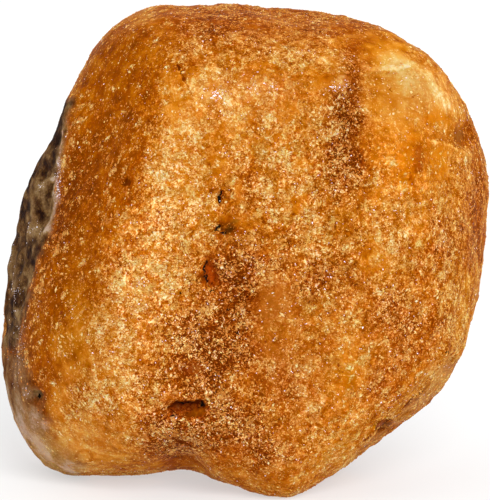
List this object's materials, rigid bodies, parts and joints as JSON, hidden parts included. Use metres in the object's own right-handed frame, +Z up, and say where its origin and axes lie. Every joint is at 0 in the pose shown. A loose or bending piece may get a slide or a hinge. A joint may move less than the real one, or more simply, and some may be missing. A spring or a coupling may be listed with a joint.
{
  "type": "amber nugget",
  "caption": "Raw nugget of cloudy honey-coloured amber: a blocky pebble with a crumbly pale crust, a smooth dark flank, brown bands, pits and a dirty scar.",
  "frame": {"origin": "centre of the nugget's box, on the flat spot that it stands on", "axes": "+Z up, the broad pale face looks toward -Y, the smooth dark flank is at -X"},
  "size_m": [0.0362, 0.0278, 0.0353],
  "materials": {
    "amber": "satin"
  },
  "bodies": {
    "root": {"amber_nugget": "amber"}
  },
  "joints": []
}
